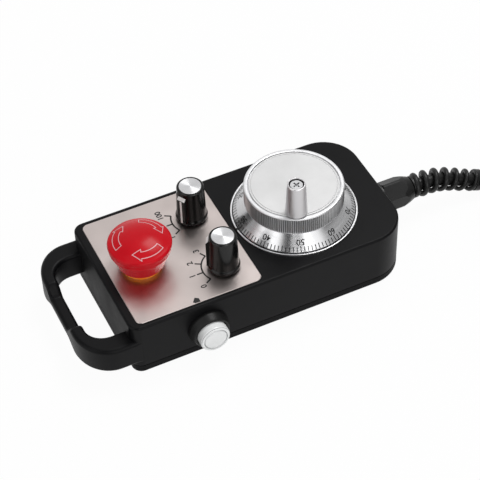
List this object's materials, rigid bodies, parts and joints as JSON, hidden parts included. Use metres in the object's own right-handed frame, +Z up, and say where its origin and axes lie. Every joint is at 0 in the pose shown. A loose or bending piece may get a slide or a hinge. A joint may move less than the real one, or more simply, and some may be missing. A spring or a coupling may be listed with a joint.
{
  "type": "handheld pulse generator handwheel",
  "caption": "Handheld machine control box with a graduated handwheel, two selector knobs, a red stop button, an enable button, a carry handle and a cable.",
  "frame": {"origin": "middle of the box's width on its resting face, below the handwheel's axis", "axes": "+X along the box from the carry handle to the cable, +Y across the box away from the enable button, +Z up through the panel"},
  "size_m": [0.2948, 0.1338, 0.0654],
  "materials": {
    "housing": "fine matt moulded black plastic",
    "fasteners": "dark zinc-plated steel",
    "panel": "satin warm-grey printed foil with black lines and numbers",
    "encoder_metal": "satin anodised aluminium with a bright edge",
    "dial": "satin anodised aluminium with fine black graduation",
    "encoder_plastic": "black moulded plastic",
    "inner_metal": "nickel-plated steel",
    "bearings": "ground bearing steel",
    "board": "green solder-masked circuit board",
    "terminals": "green terminal plastic",
    "shafts": "turned steel",
    "code_disc": "glossy grey code disc",
    "wheel": "satin aluminium with fine upright flutes",
    "wheel_face": "satin silver disc",
    "wheel_screws": "bright steel",
    "spinner": "smooth satin aluminium",
    "stop_black": "dark grey plastic",
    "stop_collar": "orange-yellow plastic",
    "stop_stem": "red plastic",
    "springs": "spring steel",
    "stop_head": "glossy red plastic with white outline arrows",
    "switches": "blue-black switch body",
    "knobs": "polished black plastic",
    "knob_caps": "spun aluminium",
    "knob_lines": "white filled line",
    "bezel": "black plastic",
    "button": "milky white translucent plastic",
    "gland": "black nylon",
    "rubber": "black moulded rubber",
    "cable": "smooth black cable sheath",
    "tie": "black strap",
    "leads": "thin insulated cores with bare tips"
  },
  "bodies": {
    "housing": {"upper_housing": "housing", "bottom_cover": "housing", "cover_screws": "fasteners", "panel_plate": "panel", "encoder_case": "encoder_metal", "encoder_back": "encoder_plastic", "encoder_sensor": "encoder_plastic", "encoder_ring_nut": "inner_metal", "stop_nut": "inner_metal", "enable_nut": "inner_metal", "gland_locknut": "inner_metal", "rate_nut": "inner_metal", "axis_nut": "inner_metal", "upper_bearing": "bearings", "lower_bearing": "bearings", "encoder_board": "board", "selector_board": "board", "encoder_terminals": "terminals", "stop_bush": "stop_black", "stop_contact_block": "stop_black", "enable_block": "stop_black", "stop_collar": "stop_collar", "stop_spring": "springs", "enable_spring": "springs", "rate_switch": "switches", "axis_switch": "switches", "enable_bezel": "bezel", "gland_body": "gland", "gland_nut": "gland", "gland_seal": "rubber", "strain_relief": "rubber", "cable": "cable", "cable_coil": "cable", "coil_tie": "tie", "cable_leads": "leads"},
    "wheel": {"encoder_shaft": "shafts", "code_disc": "code_disc", "graduated_dial": "dial", "wheel_knob": "wheel", "wheel_face": "wheel_face", "wheel_screw": "wheel_screws", "spinner_screw": "wheel_screws"},
    "spinner": {"spinner_grip": "spinner"},
    "stop_plunger": {"stop_stem": "stop_stem"},
    "stop_head": {"stop_head": "stop_head"},
    "rate_selector": {"rate_knob": "knobs", "rate_cap": "knob_caps", "rate_pointer": "knob_lines", "rate_shaft": "shafts"},
    "axis_selector": {"axis_knob": "knobs", "axis_cap": "knob_caps", "axis_pointer": "knob_lines", "axis_shaft": "shafts"},
    "enable_button": {"enable_cap": "button", "enable_plunger": "button"}
  },
  "joints": [
    {"name": "wheel_spin", "type": "hinge", "parent": "housing", "child": "wheel", "pos_m": [0, -0.0012, 0.04], "axis": [0, 0, 1], "continuous": true},
    {"name": "spinner_spin", "type": "hinge", "parent": "wheel", "child": "spinner", "pos_m": [-0.00719, -0.01814, 0.0556], "axis": [0, 0, 1], "continuous": true},
    {"name": "stop_press", "type": "slide", "parent": "housing", "child": "stop_plunger", "axis": [0, 0, -1], "range_m": [0, 0.0024], "stiffness_N_per_m": 2000, "springref_m": -0.002, "deforming": ["stop_spring"]},
    {"name": "stop_release", "type": "hinge", "parent": "stop_plunger", "child": "stop_head", "pos_m": [-0.078, -0.0012, 0.045], "axis": [0, 0, -1], "range_deg": [0, 40], "stiffness_Nm_per_rad": 0.05},
    {"name": "rate_turn", "type": "hinge", "parent": "housing", "child": "rate_selector", "pos_m": [-0.0447, 0.0166, 0.04], "axis": [0, 0, 1], "range_deg": [-60, 0]},
    {"name": "axis_turn", "type": "hinge", "parent": "housing", "child": "axis_selector", "pos_m": [-0.0447, -0.019, 0.04], "axis": [0, 0, 1], "range_deg": [-30, 90]},
    {"name": "enable_press", "type": "slide", "parent": "housing", "child": "enable_button", "axis": [0, 1, 0], "range_m": [0, 0.0025], "stiffness_N_per_m": 800, "springref_m": -0.001, "deforming": ["enable_spring"]}
  ]
}
